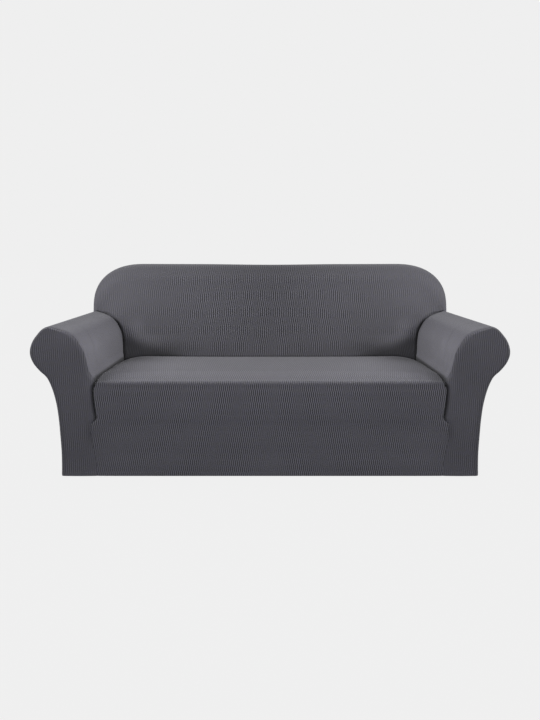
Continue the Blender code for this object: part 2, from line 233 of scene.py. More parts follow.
# Where the tuck between arm and back deepens above the seat, turns over the roll and fades at the crest.
JUNCTION_TURN = math.pi / 4
JUNCTION_TURN_UP = (0.663, 0.693)
JUNCTION_FOOT_SHARE = 0.4
JUNCTION_FOOT_UP = (0.47, 0.53)
JUNCTION_CREST_SHARE = 0.2
JUNCTION_CREST_UP = (0.683, CREST_UP)
# The cleft there is deeper than the tuck, and on the back's side the cloth curves into it.
CLEFT_DEEPER = 1.2
CLEFT_FOOT_UP = (0.460, 0.510)
CLEFT_CREST_UP = (0.640, 0.685)
CLEFT_WIDTH = 0.015
CLEFT_NARROWEST = 0.05
CLEFT_POWER = 1.3
CLEFT_END = 0.15

BACK_HALF_WIDTH = 0.9410
BACK_CORNER_ACROSS = 0.663
BACK_CORNER_UP = 0.733
BACK_CORNER_POWER = 2.37
BACK_TOP_UP = 0.9447
BACK_TOP_DIP = 0.003
BACK_DIP_ACROSS = 0.360
BACK_LEAN = 0.24
# How far past the crease beside the arm the curve of the back's foot runs on before it is level.
BACK_BEYOND = 0.18
# The bow of the back, which ends at this slope and runs level after another quarter of its span.
BACK_BOW = 0.085
BACK_BOW_ACROSS = (0.20, 0.78)
BACK_BOW_HEIGHT = 0.13
BACK_BOW_SLOPE = 1.5
BACK_BOW_BEYOND = 0.25
BACK_EDGE_DEPTH_TOP = 0.075
BACK_EDGE_DEPTH_SIDE = 0.035
BACK_EDGE_TOP = 0.085
BACK_EDGE_SIDE = 0.075
BACK_CREASE_UP = 0.483
# How far from its foot the back still bends to meet it, and how softly that is blended.
BACK_SETTLED_REACH = 0.26
BACK_SETTLED_BLEND = 0.006
# The share of the rim that the columns above the seat lead to.
CORNER_RIM_SHARE = 0.65
# From the rim to the rear seam: the share of the way, and how far in from the outline.
BACK_TOP_INSETS = ((0.0, 0.35, 0.7, 0.95, 1.0), (0.0, 0.001, 0.003, 0.004, REAR_ROUNDING))
# Where the rear panel's rows start on the rim.
REAR_TOP_SHARE = 0.6

ORIGIN = np.array([0.0, 0.777, BACK_TOP_UP - BACK_TOP_DIP - CLOTH])
FLOOR_UP = -ORIGIN[2]

# ---- How finely the panels are made: pitches in metres, spacings as shares of a row or column ----

SEAT_ROW_PITCH = 0.0052
SEAT_COLUMN_PITCH = 0.0090
SEAT_EDGE_REACH = 0.014
SEAT_EDGE_SPAN = 0.9
SEAT_EDGE_ROWS = 17
FINEST = 0.0012
ARM_PITCH = 0.0090
ARM_SPACING = (0.004, 0.011)
INSIDE_POINTS = 64
OUTSIDE_POINTS = 92
TUCK_STEPS = 6
TUCK_POWER = 0.8
FACING_TOP_POINTS = 60
FACING_TOP_POWER = 1.3
FACING_LOW_ROWS = 66
FACING_SPACING = (0.014, 0.05)
BACK_SEAT_COLUMNS = 78
BACK_SPACING = (0.009, 0.03)
BACK_TOP_ROWS = 20
BACK_CROWN_POINTS = 80
BACK_CORNER_POINTS = 160
RIM_POINTS = 400
REAR_RIM_ROWS = 60
REAR_COLUMNS = 61
SHARP_ANGLE = math.radians(55)

# ---- The folded hem: a slightly thicker band, and the furrow that its stitches pull ----

HEM_BAND = 0.018
HEM_PROUD = 0.0003
HEM_FURROW = 0.0004
HEM_FURROW_WIDTH = 0.0012
# The rows across the furrow, and the clear space round it, in widths of the furrow.
HEM_FURROW_SPAN = 2.4
HEM_FURROW_ROWS = 9
HEM_FURROW_CLEAR = 3.2
# Below this height the rows of a panel make room for the furrow.
HEM_ZONE_UP = HEM_UP + 0.05

# ---- The weave: short ribs in staggered rows, and the fine knit between ----

RIB_PITCH = 0.0087
BACK_RIB_PITCH = 0.0106
SKIRT_RIB_ROW = 0.0255
BACK_RIB_ROW = 0.045
FACING_RIB_ROW = 0.060
RIB_HEIGHT = 0.0004
RIB_STEEPNESS = 1.6
# Scale of the noise, and how many turns it shifts the ribs and the rows that break them.
RIB_SWAY = (2.6, 0.9)
ROW_STAGGER = (3.0, 1.2)
KNIT_PITCH = 0.0014
KNIT_CONTRAST = 0.06
KNIT_RELIEF = 0.12
# Scale of the noise, and how much darker and lighter it makes the cloth.
CLOUD = (5.0, 0.96, 1.04)
FLECK = (420.0, 0.93, 1.07)
# Scale of the noise, and how much less and more blue it makes the cloth.
TINT = (60.0, 0.96, 1.04)
ROUGHNESS = (0.82, 0.92)
SPECULAR = 0.25
SHEEN = 0.12
SHEEN_ROUGHNESS = 0.5
# As linear shares of light.
CLOTH_COLOUR = (0.0755, 0.0735, 0.0830)
WEAVES = {
    # rib pitch, length of a rib row, how unbroken the ribs are, their contrast, their relief
    "seat_weave": (RIB_PITCH, SKIRT_RIB_ROW, 0.0, 0.60, 1.0),
    "back_weave": (BACK_RIB_PITCH, BACK_RIB_ROW, 0.7, 0.60, 1.0),
    "arm_weave": (RIB_PITCH, BACK_RIB_ROW, 0.0, 0.15, 0.5),
    "arm_front_weave": (RIB_PITCH, FACING_RIB_ROW, 0.5, 0.36, 0.8),
}

# ---- Painted light and shade on the cloth ----
# A tone of 1 leaves the cloth's colour as it is, and a shade is how much of its light a place loses: both
# are painted light and shade. The patches are painted light and shade too, lighter where lamps fall more and
# darker where shade falls. Like tables say how strongly the ribs show.

# The seat's front is filled out and painted lighter, a painted highlight which ends in a curve before the
# sides. The seat's own tone is painted light and shade as well.
BAND_BACK = 0.135
BAND_ACROSS = 0.675
BAND_POWER = 5.0
BAND_SOFTNESS = 0.016
BAND_HIGHLIGHT = 0.14
SEAT_TONE = 0.911
TONE_EDGE_UP = (0.4615, 0.4675)
# A painted shadow on the seat in a strip beside each arm's crease, fading out over this range of insets.
SEAT_SIDE_SHADOW = 0.32
SEAT_SIDE_SHADE = (0.025, 0.075)
# The skirt's painted tone, and patches of painted light and shade on the seat, lighter towards its front
# sides and darkest in its rear corners.
SKIRT_TONE = 1.04
SEAT_PATCHES = (
    # middle, back, reach across, reach back, amount
    (0.46, 0.20, 0.17, 0.22, 0.14),
    (0.60, 0.05, 0.09, 0.07, 0.16),
    (0.00, 0.50, 0.60, 0.14, -0.05),
    (0.65, 0.46, 0.10, 0.11, -0.58),
)
# Painted light and shade on the skirt, darker low down and beside the groove at the arm's front.
SKIRT_PATCHES = (
    # middle, up, reach across, reach up, amount
    (0.00, 0.40, 0.30, 0.13, 0.12),
    (0.42, 0.38, 0.30, 0.09, 0.10),
    (0.40, 0.06, 0.35, 0.06, -0.12),
    (0.76, 0.25, 0.06, 0.25, -0.08),
    (0.765, 0.245, 0.012, 0.035, -0.20),
)
# How strongly the ribs show on the seat, and on the skirt.
SEAT_RIBS = 0.75
SKIRT_RIBS = (
    (0.00, 0.42, 1.00, 0.08, 0.25),
    (0.70, 0.12, 0.12, 0.14, -0.35),
)
# The shade in the creases beside the seat and skirt: its core, as a share of its width, is fully dark.
CREASE_SHADE = 0.90
CREASE_SHADE_CORE = 0.3
CREASE_SHADE_WIDTH = 0.014
SKIRT_SHADE_WIDTH = 0.007
REAR_SHADE = 0.62
REAR_SHADE_WIDTH = 0.022
GROOVE_UP = (0.285, 0.315)

# Painted light on the ridges of the arm's creases and painted shade in their troughs, for each metre of
# relief.
ARM_CREASE_SHADING = 45
# Painted light on the inside of the arm, where lamps fall more, and painted shade along its top.
ARM_PATCHES = (
    # back, up, reach back, reach up, amount
    (0.15, 0.56, 0.60, 0.105, 0.74),
    (0.30, 0.71, 0.80, 0.030, -0.44),
)
# Painted shade: the tone of the cloth tucked in beside the back, the shade at the arm's foot beside the seat
# and round the arm's front.
TUCK_SHADOW_TONE = 0.35
ARM_FOOT_SHADE_UP = (0.474, 0.486)
ARM_RIM_SHADE = 0.25
ARM_RIM_WIDTH = 0.020
# Painted shade along the facing's outer edge, and patches of painted light and shade on the facing.
FACING_EDGE_SHADE = 0.30
FACING_EDGE_SHADE_WIDTH = 0.022
FACING_PATCHES = (
    # across, up, reach across, reach up, amount
    (0.93, 0.60, 0.08, 0.05, 0.04),
    (0.84, 0.655, 0.07, 0.035, 0.13),
    (0.83, 0.15, 0.12, 0.11, -0.14),
    (0.90, 0.20, 0.03, 0.16, -0.14),
    (0.76, 0.45, 0.02, 0.04, 0.20),
    (0.765, 0.245, 0.015, 0.040, -0.20),
)
# How strongly the ribs show: far less where the skirt's edge pulls them flat.
FACING_RIBS = ((0.755, 0.30, 0.022, 0.30, -0.75),)

# The shadow in the cleft, which narrows at its foot and thins out to a line at the crest.
CLEFT_SHADE = 0.90
CLEFT_SHADE_THINNING = 0.45
CLEFT_SHADE_WIDTH = (0.008, 0.014)
CLEFT_SHADE_FOOT = 0.30
CLEFT_SHADE_CREST = 0.62
# The painted shadow in the corner of the back above the seat and beside the arm, whose upper edge slopes
# down inwards.
CORNER_ACROSS = 0.74
CORNER_UP = 0.600
CORNER_SLOPE = 0.30
CORNER_SOFTNESS = 0.055
CORNER_SHADE = 0.66
# The shade along the rim, by the part of the way from foot to rim.
BACK_RIM_SHADE = 0.29
BACK_RIM_PARTS = (0.82, 1.0)
# The painted shade along the back's foot, a dark line which widens and sinks towards the corner.
BACK_FOOT_SHADE = 0.72
BACK_FOOT_WIDTH = 0.009
BACK_FOOT_WIDENING = 0.8
BACK_FOOT_WIDENS_ACROSS = (0.40, 0.55)
BACK_CORNER_FOOT = 0.464
CORNER_FOOT_ACROSS = (0.62, 0.744)
# Painted light and shade on the back: darker in the middle, along the top and above the seat, lighter
# towards the sides and beside the cleft.
BACK_PATCHES = (
    # middle, up, reach across, reach up, amount
    (0.00, 0.78, 0.22, 0.30, -0.12),
    (0.00, 0.95, 0.55, 0.060, -0.28),
    (0.60, 0.95, 0.20, 0.030, -0.12),
    (0.52, 0.520, 0.13, 0.050, -0.52),
    (0.695, 0.620, 0.045, 0.045, 0.34),
    (0.30, 0.50, 0.16, 0.05, -0.12),
    (0.82, 0.80, 0.22, 0.18, 0.18),
    (0.45, 0.78, 0.40, 0.12, 0.10),
)
# How strongly the ribs show: less towards the corners and along the top.
BACK_RIBS = (
    (0.00, 0.68, 0.40, 0.16, 0.12),
    (0.78, 0.80, 0.24, 0.22, -0.55),
    (0.40, 0.95, 0.60, 0.06, -0.40),
)
# The weave fans out up the back, and is a little longer on it.
BACK_WEAVE_FAN = 0.05
BACK_WEAVE_LENGTHENING = 1.03

# ---- The studio ----

LENS = 33.7
SENSOR = 36.0
CAMERA_AT = (0.0, -3.557, 0.0543)
CAMERA_DOWN = 8.896
# The lamps face this point. The key lamp is above the front, and the others stand on both sides.
LAMP_TARGET = (0.0, -0.35, -0.4)
KEY_AT = (0.0, -2.282, 3.7676)
KEY_SIZE = 2.6
KEY_POWER = 99.0
SIDE_AT = (4.3, -0.75, 2.2)
SIDE_SIZE = 1.6
SIDE_POWER = 149.0
AMBIENT = (0.535, 0.540, 0.582)
# Paper and floor are equally pale. The floor shines by itself, so no lamp makes it uneven.
PAPER = 0.8632
FLOOR_REFLECTANCE = 0.002
FLOOR_HALF_WIDTH = 30.0


def ease(value, start, end):
    """A smooth step from 0 at start to 1 at end."""
    t = np.clip((value - start) / (end - start), 0.0, 1.0)
    return t * t * (3 - 2 * t)


def bump(value, centre, width):
    """A soft bump of height 1 about the centre."""
    return np.exp(-(((value - centre) / width) ** 2))


def smooth_path(rows, per_span=16):
    """Points of a Catmull-Rom curve through the rows."""
    knots = np.array(rows, float)
    knots = np.vstack([2 * knots[0] - knots[1], knots, 2 * knots[-1] - knots[-2]])
    t = np.linspace(0, 1, per_span, endpoint=False)[:, None]
    spans = []
    for before, start, end, after in zip(knots, knots[1:], knots[2:], knots[3:]):
        bend = 2 * before - 5 * start + 4 * end - after
        twist = 3 * start - before - 3 * end + after
        spans.append(start + 0.5 * ((end - before) * t + bend * t**2 + twist * t**3))
    return np.vstack(spans + [knots[-2:-1]])


def path_length(path):
    """How far along the path each of its points lies."""
    return np.concatenate([[0.0], np.cumsum(np.linalg.norm(np.diff(path, axis=0), axis=1))])


def at_lengths(path, wanted):
    """Points of the path at these lengths along it."""
    along = path_length(path)
    return np.column_stack([np.interp(wanted, along, column) for column in path.T])


def resample(path, count):
    """That many points along the path, evenly spaced."""
    return at_lengths(path, np.linspace(0, path_length(path)[-1], count))


def graded(total, fine, coarse, growth=1.25):
    """Places from 0 to total whose spacing grows from fine to coarse."""
    places = [0.0]
    step = fine
    while places[-1] < total:
        places.append(places[-1] + step)
        step = min(step * growth, coarse)
    return np.array(places) * (total / places[-1])


def lookup(rows, key, column=1):
    """The table's column at this key, where the first column rises or falls all the way."""
    path = smooth_path(rows)
    order = np.argsort(path[:, 0])
    return np.interp(key, path[order, 0], path[order, column])


def unit(vectors):
    """The vectors scaled to a length of 1."""
    return vectors / np.linalg.norm(vectors, axis=-1)[..., None]


def section_normals(points):
    """The normal of each point of a flat path that is to the left of its direction."""
    ahead = unit(np.gradient(points, axis=0))
    return np.column_stack([-ahead[:, 1], ahead[:, 0]])


def mirrored(half, signs=1):
    """A row from the left edge to the right one, from its right half, given from the edge to the middle."""
    return np.concatenate([half * signs, half[-2::-1]])


def lengthened(values, count):
    """The values with the last one repeated until there are this many."""
    return np.concatenate([values, np.repeat(values[-1:], count - len(values), axis=0)])


def with_hem(places, hem):
    """The heights with those of the hem's furrow added, from the top down."""
    spread = np.linspace(-HEM_FURROW_SPAN, HEM_FURROW_SPAN, HEM_FURROW_ROWS)
    furrow = hem + HEM_BAND + HEM_FURROW_WIDTH * spread
    clear = [up for up in places if abs(up - hem - HEM_BAND) > HEM_FURROW_CLEAR * HEM_FURROW_WIDTH]
    return np.sort(np.concatenate([clear, furrow]))[::-1]


def hem_relief(up):
    """How far the cloth stands proud at this height: the band of the hem, and the furrow at its stitches."""
    above = up - HEM_UP
    band = HEM_PROUD * (1 - ease(above, HEM_BAND, HEM_BAND + 2 * HEM_FURROW_WIDTH))
    return band - HEM_FURROW * bump(above, HEM_BAND, HEM_FURROW_WIDTH)


# ---- Materials ----


class Weave:
    """A material's nodes, made by short calls."""

    def __init__(self, name):
        self.material = bpy.data.materials.new(name)
        self.material.use_nodes = True
        self.tree = self.material.node_tree
        self.shader = self.tree.nodes["Principled BSDF"]

    def node(self, kind, inputs=(), **settings):
        """A node with these settings, whose inputs are linked or set."""
        made = self.tree.nodes.new(kind)
        for key, value in settings.items():
            setattr(made, key, value)
        for place, value in inputs:
            self.feed(made.inputs[place], value)
        return made

    def feed(self, socket, value):
        """Links a socket to the input, or sets the input to a value."""
        if isinstance(value, bpy.types.NodeSocket):
            self.tree.links.new(value, socket)
        else:
            socket.default_value = value

    def calc(self, operation, *values):
        """The result of a Math node."""
        return self.node("ShaderNodeMath", enumerate(values), operation=operation).outputs[0]

    def attribute(self, name):
        """What is painted on the mesh under this name."""
        return self.node("ShaderNodeAttribute", attribute_name=name).outputs["Fac"]

    def squared_wave(self, turns, lift=0.0):
        """A wave with steep sides between -1 and 1, once a turn. The lift keeps it high for longer."""
        wave = self.calc("COSINE", self.calc("MULTIPLY", turns, math.tau))
        steep = self.calc("MULTIPLY_ADD", wave, RIB_STEEPNESS, lift)
        return self.calc("MINIMUM", self.calc("MAXIMUM", steep, -1.0), 1.0)

    def noise(self, vector, scale, detail=2.0):
        """A noise between 0 and 1 about a middle of 0.5."""
        inputs = (("Vector", vector), ("Scale", scale), ("Detail", detail))
        return self.node("ShaderNodeTexNoise", inputs).outputs["Fac"]

    def shift(self, vector, scale, amount):
        """A noise about 0, of up to half the amount either way."""
        return self.calc("MULTIPLY", self.calc("SUBTRACT", self.noise(vector, scale), 0.5), amount)

    def map_range(self, value, low, high, new_low, new_high):
        """The value's range from low to high carried over to another, with soft ends."""
        inputs = ((0, value), (1, low), (2, high), (3, new_low), (4, new_high))
        return self.node("ShaderNodeMapRange", inputs, interpolation_type="SMOOTHSTEP").outputs[0]


def jacquard(name, pitch, rib_row, unbroken, rib_contrast, rib_relief):
    """Stretch jacquard: short light ribs in staggered rows on a darker knit, uneven, a little sheen, painted
    shading.
    """
    weave = Weave(name)
    coordinates = weave.node("ShaderNodeUVMap", uv_map="weave").outputs[0]
    split = weave.node("ShaderNodeSeparateXYZ", ((0, coordinates),))
    across, along = split.outputs[0], split.outputs[1]
    # Ribs wander a little, and the rows that break them wander more.
    sway = weave.shift(coordinates, *RIB_SWAY)
    stagger = weave.shift(coordinates, *ROW_STAGGER)
    rib_turns = weave.calc("ADD", weave.calc("DIVIDE", across, pitch), sway)
    row_turns = weave.calc("ADD", weave.calc("DIVIDE", along, 2 * rib_row), stagger)
    ribs = weave.calc("MULTIPLY", weave.squared_wave(rib_turns), weave.squared_wave(row_turns, unbroken))
    ribs = weave.calc("MULTIPLY", ribs, weave.attribute("rib_strength"))
    # Fine knit: wales across and courses along.
    wale = weave.calc("SINE", weave.calc("MULTIPLY", across, math.tau / KNIT_PITCH))
    course = weave.calc("SINE", weave.calc("MULTIPLY", along, math.tau / KNIT_PITCH))
    knit = weave.calc("MULTIPLY", wale, course)
    cloud = weave.noise(coordinates, CLOUD[0], detail=4.0)
    fleck = weave.noise(coordinates, FLECK[0])
    light = weave.calc("MULTIPLY_ADD", ribs, rib_contrast, 1.0)
    light = weave.calc("MULTIPLY", light, weave.calc("MULTIPLY_ADD", knit, KNIT_CONTRAST, 1.0))
    light = weave.calc("MULTIPLY", light, weave.map_range(cloud, 0.3, 0.7, *CLOUD[1:]))
    light = weave.calc("MULTIPLY", light, weave.map_range(fleck, 0.25, 0.75, *FLECK[1:]))
    # The tone painted on each panel is painted light and shade, multiplied into the cloth's colour.
    light = weave.calc("MULTIPLY", light, weave.attribute("tone"))
    tint = weave.node("ShaderNodeMix", data_type="RGBA")
    blueness = weave.map_range(weave.noise(coordinates, TINT[0]), 0.35, 0.65, 0.0, 1.0)
    weave.feed(tint.inputs["Factor"], blueness)
    for key, blue in zip("AB", TINT[1:]):
        weave.feed(tint.inputs[key], (*CLOTH_COLOUR[:2], CLOTH_COLOUR[2] * blue, 1.0))
    colour = weave.node("ShaderNodeVectorMath", ((0, tint.outputs["Result"]),), operation="SCALE")
    weave.feed(colour.inputs["Scale"], light)
    relief = weave.calc("MULTIPLY_ADD", knit, KNIT_RELIEF, weave.calc("MULTIPLY", ribs, rib_relief))
    raised = weave.node("ShaderNodeBump", (("Height", relief), ("Strength", 1.0), ("Distance", RIB_HEIGHT)))
    looks = (
        ("Base Color", colour.outputs[0]),
        ("Normal", raised.outputs[0]),
        ("Roughness", weave.map_range(cloud, 0.3, 0.7, *ROUGHNESS)),
        ("Specular IOR Level", SPECULAR),
        ("Sheen Weight", SHEEN),
        ("Sheen Roughness", SHEEN_ROUGHNESS),
    )
    for key, value in looks:
        weave.feed(weave.shader.inputs[key], value)
    return weave.material


# ---- Panels ----


def patches(table, across, along):
    """1 apart from soft patches, each with its middle, its reach both ways and how much it adds."""
    tone = np.ones(np.broadcast(across, along).shape)
    for middle, height, wide, high, amount in table:
        tone = tone + amount * bump(across, middle, wide) * bump(along, height, high)
    return tone


def face_values(mesh, key):
    """A vector of each face, such as its normal."""
    values = np.empty(3 * len(mesh.polygons), np.float32)
    mesh.polygons.foreach_get(key, values)
    return values.reshape(-1, 3)


def sheet(name, grid, weave_map, tone, ribs, material, hub, keep=None):
    """A sewn panel that replaces its plain solid.

    The grid of points is its outer face, which looks away from the hub. Each point has its place on the
    weave, its tone, which is painted light and shade, and how strongly its ribs show. Only the cells to keep
    become cloth.
    """
    grid, weave_map, tone, ribs = (np.asarray(values) for values in (grid, weave_map, tone, ribs))
    rows, columns = grid.shape[:2]
    cells = np.ones((rows - 1, columns - 1), bool) if keep is None else keep
    first = np.ravel_multi_index(np.nonzero(cells), (rows, columns))
    faces = first[:, None] + (0, 1, columns + 1, columns)
    used, faces = np.unique(faces, return_inverse=True)
    points = (grid.reshape(-1, 3) - ORIGIN)[used]
    mesh = bpy.data.meshes.new(name)
    mesh.from_pydata(points.tolist(), [], faces.reshape(-1, 4).tolist())
    layer = mesh.uv_layers.new(name="weave")
    corners = np.empty(len(mesh.loops), np.int32)
    mesh.loops.foreach_get("vertex_index", corners)
    layer.data.foreach_set("uv", weave_map.reshape(-1, 2)[used][corners].astype(np.float32).ravel())
    for key, values in (("tone", tone), ("rib_strength", ribs)):
        painted = mesh.attributes.new(key, "FLOAT", "POINT")
        painted.data.foreach_set("value", values.reshape(-1)[used].astype(np.float32))
    if np.sum(face_values(mesh, "normal") * (face_values(mesh, "center") + ORIGIN - hub)) < 0:
        mesh.flip_normals()
    mesh.materials.append(material)
    panel = bpy.data.objects.new(f"{name}_cloth", mesh)
    bpy.context.scene.collection.objects.link(panel)
    thickness = panel.modifiers.new("thickness", "SOLIDIFY")
    thickness.thickness = CLOTH
    thickness.offset = -1
    thickness.use_even_offset = False
    evaluated = panel.evaluated_get(bpy.context.evaluated_depsgraph_get())
    closed = bpy.data.meshes.new_from_object(evaluated)
    panel.modifiers.clear()
    panel.data = closed
    closed.shade_smooth()
    closed.set_sharp_from_angle(angle=SHARP_ANGLE)
    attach(panel, "root")
    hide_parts(name)
    return panel


def seat_rear(across):
    """How far back the seat's rear crease lies, bowed back towards the arms."""
    return SEAT_CREASE_BACK + SEAT_CREASE_BOW * (np.abs(across) / SEAT_CREASE_ACROSS) ** 3


def seat_side_rise(inset):
    """How far the seat has risen from a side crease to its crown, from 0 to 1."""
    return 1 - np.clip(1 - inset / CREASE_FALLOFF, 0, 1) ** 2


def seat_side_across(back):
    """Half the seat's width between the arms, which narrows at the front to the skirt's edge."""
    narrow = SEAT_CREASE_ACROSS - SKIRT_EDGE[0][1]
    return SEAT_CREASE_ACROSS - narrow * np.maximum(1 - back / SEAT_NARROWING, 0.0)


def lip(inset):
    """How much of a tuck is left this far from the edge, from 1 at the edge to 0 at the width of the lip."""
    return np.clip(1 - inset / LIP, 0, 1) ** LIP_POWER


def groove(up):
    """1 where skirt and arm front are tucked in between them, and 0 below, where they lie flush."""
    return ease(up, *GROOVE_UP)


def seat_band(across, back):
    """1 on the filled front of the seat, which is painted lighter, and 0 behind it and beside it."""
    reach = np.clip(np.abs(across) / BAND_ACROSS, 0, 1)
    line = BAND_BACK * (1 - reach**BAND_POWER) ** (1 / BAND_POWER)
    return 1 - ease(back, line - BAND_SOFTNESS, line + BAND_SOFTNESS)


def seat_rows():
    """Rows of seat and skirt: how far back and up the middle is, the drop in the crease, the distance."""
    profile = smooth_path(SEAT_PROFILE)
    lengths = path_length(profile)
    places = np.linspace(0, lengths[-1], int(lengths[-1] / SEAT_ROW_PITCH))
    edge_at = lengths[np.argmax(profile[:, 0] < 0)]
    near_edge = edge_at + np.linspace(-SEAT_EDGE_SPAN, SEAT_EDGE_SPAN, SEAT_EDGE_ROWS) * SEAT_EDGE_REACH
    places = np.concatenate([places[np.abs(places - edge_at) > SEAT_EDGE_REACH], near_edge])
    profile = at_lengths(profile, np.sort(places))
    low = profile[:, 1] < HEM_ZONE_UP
    hem_rows = with_hem(profile[low, 1], HEM_UP)
    hem = np.column_stack([np.full(len(hem_rows), SEAT_PROFILE[-1][0]), hem_rows])
    profile = np.vstack([profile[~low], hem])
    drops = TUCK * lip(np.array(REAR_TUCK_PARTS) * LIP)
    leans = SEAT_CREASE_BACK - SEAM - REAR_TUCK_LEAN * (1 - drops / TUCK)
    rear = [(lean, profile[0, 1], drop, 0.0) for lean, drop in zip(leans, drops)]
    return rear + [(back, up, 0.0, length) for (back, up), length in zip(profile, path_length(profile))]


def seat_tone(across, back, up, insets, length):
    """The painted light and shade at the points of a row of the seat or skirt."""
    on_seat = ease(up, *SEAT_EDGE_UP)
    band = SEAT_TONE + BAND_HIGHLIGHT * seat_band(across, back)
    strip = 1 - SEAT_SIDE_SHADOW * (1 - ease(insets, *SEAT_SIDE_SHADE))
    on_top = band * strip * patches(SEAT_PATCHES, across, back)
    on_front = SKIRT_TONE * patches(SKIRT_PATCHES, across, up)
    tone = on_front + (on_top - on_front) * ease(up, *TONE_EDGE_UP)
    shaded = SKIRT_SHADE_WIDTH + (CREASE_SHADE_WIDTH - SKIRT_SHADE_WIDTH) * on_seat
    creased = 1 - ease(insets, CREASE_SHADE_CORE * shaded, shaded)
    tone = tone * (1 - CREASE_SHADE * groove(up) * creased)
    return tone * (1 - REAR_SHADE * (1 - ease(length, 0.0, REAR_SHADE_WIDTH)) * on_seat)


def seat_and_skirt(material):
    """The seat, its rounded front edge and the skirt, in rows from the rear tuck down to the hem."""
    insets = graded(SEAT_CREASE_ACROSS, FINEST, SEAT_COLUMN_PITCH)
    rises = seat_side_rise(insets)
    tucked_shares = lip(insets)
    grid, maps, tones, ribs = [], [], [], []
    for back, up, drop, length in seat_rows():
        on_seat = ease(up, *SEAT_EDGE_UP)
        edge = seat_side_across(back) if back > 0 else lookup(SKIRT_EDGE, up)
        across = (edge - SEAM) * (1 - insets / SEAT_CREASE_ACROSS)
        tucked = (TUCK * on_seat + lookup(SKIRT_EDGE, up, 2) * (1 - on_seat)) * tucked_shares
        stretched = back * seat_rear(across) / SEAT_CREASE_BACK
        level = up + (lookup(SEAT_SIDE_CREASE, stretched) - up) * (1 - rises) * on_seat
        depth = stretched if back > 0 else back * rises
        depth = depth + tucked * (1 - on_seat) - hem_relief(up)
        right = np.column_stack([across, depth, level - drop - tucked * on_seat])
        # The seam allowance: one point behind the edge, and one turned outwards from there.
        behind = right[0] + (0.0, ALLOWANCE_DEPTH * (1 - on_seat), -ALLOWANCE_DROP * on_seat)
        below = 1 - ease(up, *ALLOWANCE_UP)
        turned = behind + (ALLOWANCE * below, ALLOWANCE_FALL * (1 - on_seat), -ALLOWANCE_FALL * on_seat)
        grid.append(mirrored(np.vstack([turned, behind, right]), (-1, 1, 1)))
        flat_across = (SEAT_CREASE_ACROSS - insets) * (1 if back > 0 else edge / SEAT_CREASE_ACROSS)
        allowance = flat_across[0] + (ALLOWANCE + ALLOWANCE_DEPTH, ALLOWANCE_DEPTH)
        flat_across = np.concatenate([allowance, flat_across])
        maps.append(mirrored(np.column_stack([flat_across, np.full(len(flat_across), length)]), (-1, 1)))
        tone = seat_tone(across, back, up, insets, length)
        strength = patches(SKIRT_RIBS, across, up) + (SEAT_RIBS - 1) * on_seat
        tones.append(mirrored(np.pad(tone, (2, 0), mode="edge")))
        ribs.append(mirrored(np.pad(strength, (2, 0), mode="edge")))
    return sheet(
        "seat_and_skirt", grid, maps, tones, ribs, material,
        hub=(0, 0.4, 0.2),
    )


def front_depth(up):
    """How deep the inner edge of the arm's front is tucked in at this height, down to the seat's corner."""
    low = 1 - ease(up, *FRONT_CORNER_UP)
    return FRONT_EDGE_DEPTH + (SKIRT_TUCK - FRONT_EDGE_DEPTH) * low


def arm_section():
    """Points round the arm's section, of which the first INSIDE_POINTS lead up to its crest."""
    path = smooth_path(ARM_SECTION)
    crest = int(np.argmax(path[:, 1]))
    inside = resample(path[: crest + 1], INSIDE_POINTS)
    outside = resample(path[crest:], OUTSIDE_POINTS + 1)
    low = outside[:, 1] < HEM_ZONE_UP
    hem_rows = with_hem(outside[low, 1], HEM_UP)
    hem_across = np.interp(hem_rows, outside[low][::-1, 1], outside[low][::-1, 0])
    outside = np.vstack([outside[~low], np.column_stack([hem_across, hem_rows])])
    return np.vstack([inside, outside[1:]])


def arm_junction():
    """Where the right arm's inside points meet the back, and the ways of the tuck and from arm to back."""
    section = arm_section()
    normals = section_normals(section)[:INSIDE_POINTS]
    across, up = section[:INSIDE_POINTS].T
    line = np.column_stack([across, lookup(ARM_END, up), up])
    along = unit(np.gradient(line, axis=0))
    turn = JUNCTION_TURN * ease(up, *JUNCTION_TURN_UP)
    level = np.zeros(INSIDE_POINTS)
    arm_looks = np.column_stack([normals[:, 0], level, normals[:, 1]])
    back_looks = np.column_stack([np.sin(turn), -np.cos(turn), level])
    into = -(arm_looks + back_looks)
    into = unit(into - along * np.sum(into * along, axis=1)[:, None])
    apart = np.cross(along, into)
    apart *= np.sign(np.sum(apart * arm_looks, axis=1))[:, None]
    depth = JUNCTION_FOOT_SHARE + (1 - JUNCTION_FOOT_SHARE) * ease(up, *JUNCTION_FOOT_UP)
    depth *= 1 - (1 - JUNCTION_CREST_SHARE) * ease(up, *JUNCTION_CREST_UP)
    into *= TUCK * depth[:, None]
    deeper = 1 + (CLEFT_DEEPER - 1) * ease(up, *CLEFT_FOOT_UP) * (1 - ease(up, *CLEFT_CREST_UP))
    into *= deeper[:, None]
    into[-1] = CREST_TUCK
    apart[-1] = (0.0, 0.0, 1.0)
    return line, into, apart * JUNCTION_SEAM


def arm_point(across, up, back):
    """Points of the right arm: its outer side flares towards the rear, its foot turns in at the front."""
    back = np.asarray(back, float)
    shifted = np.full(len(back), across)
    if up <= ARM_WAIST_UP:
        if across > ARM_MIDDLE_ACROSS:
            shifted = across + ARM_FLARE * (back / REAR) * ease(up, *ARM_FLARE_UP)
        else:
            turn = SEAT_CREASE_ACROSS - seat_side_across(back)
            shifted = across - turn * ease(up, ARM_WAIST_UP, ARM_FOOT_UP)
    return np.column_stack([shifted, back, np.full(len(back), up)])


